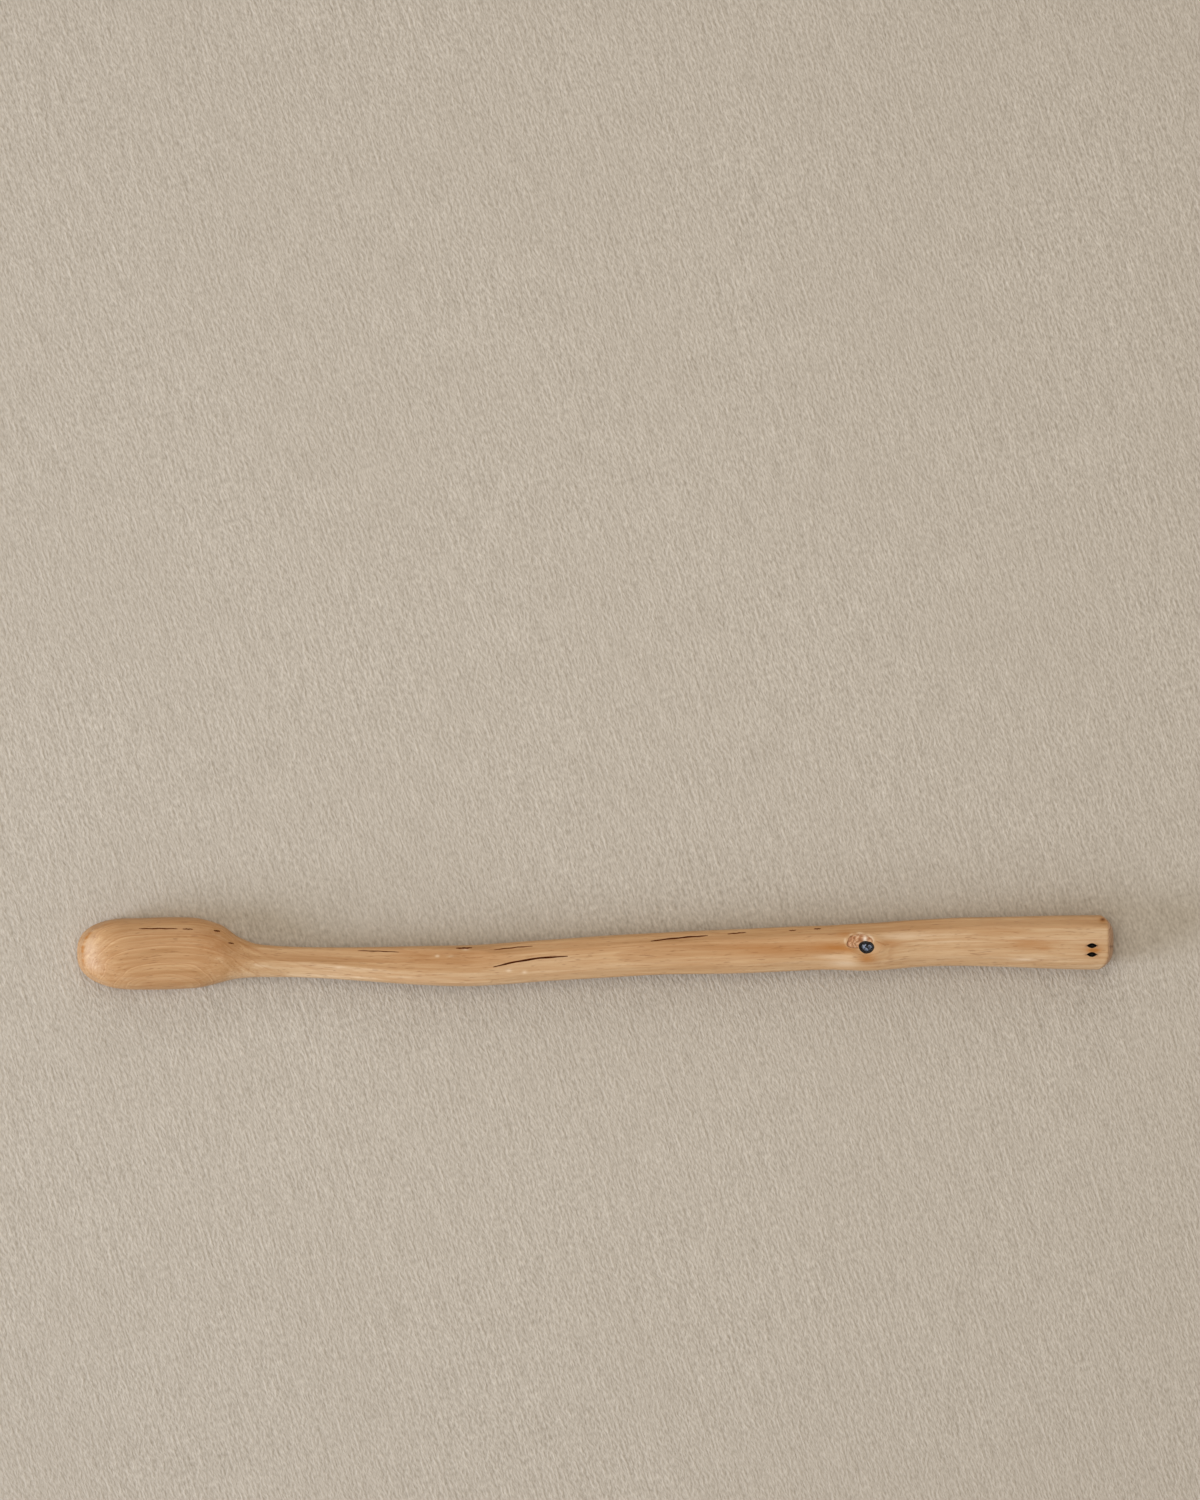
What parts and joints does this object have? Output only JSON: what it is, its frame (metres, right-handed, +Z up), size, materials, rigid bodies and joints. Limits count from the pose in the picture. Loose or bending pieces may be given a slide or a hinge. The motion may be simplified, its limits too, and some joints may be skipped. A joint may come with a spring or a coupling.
{
  "type": "chashaku tea scoop",
  "caption": "Slender tea scoop carved from a bent branch: a small hollowed oval bowl, a thin ridged neck and a round handle with a dead knot.",
  "frame": {"origin": "bottom centre of the scoop's box, on the plane the scoop rests on with its bowl down", "axes": "+X along the scoop from the bowl's tip to the butt of the handle, +Z up out of the bowl's back, Y across"},
  "size_m": [0.18, 0.013, 0.0083],
  "materials": {
    "carved_wood": "hand-carved, smooth and unvarnished, with a slight sheen",
    "dead_heartwood": "grey, weathered and dull",
    "knot_bark": "black and rough",
    "ingrown_bark": "reddish brown and rough"
  },
  "bodies": {
    "root": {"scoop_body": "carved_wood", "knot_core": "dead_heartwood", "knot_bark_ring": "knot_bark", "ingrown_bark": "ingrown_bark"}
  },
  "joints": []
}
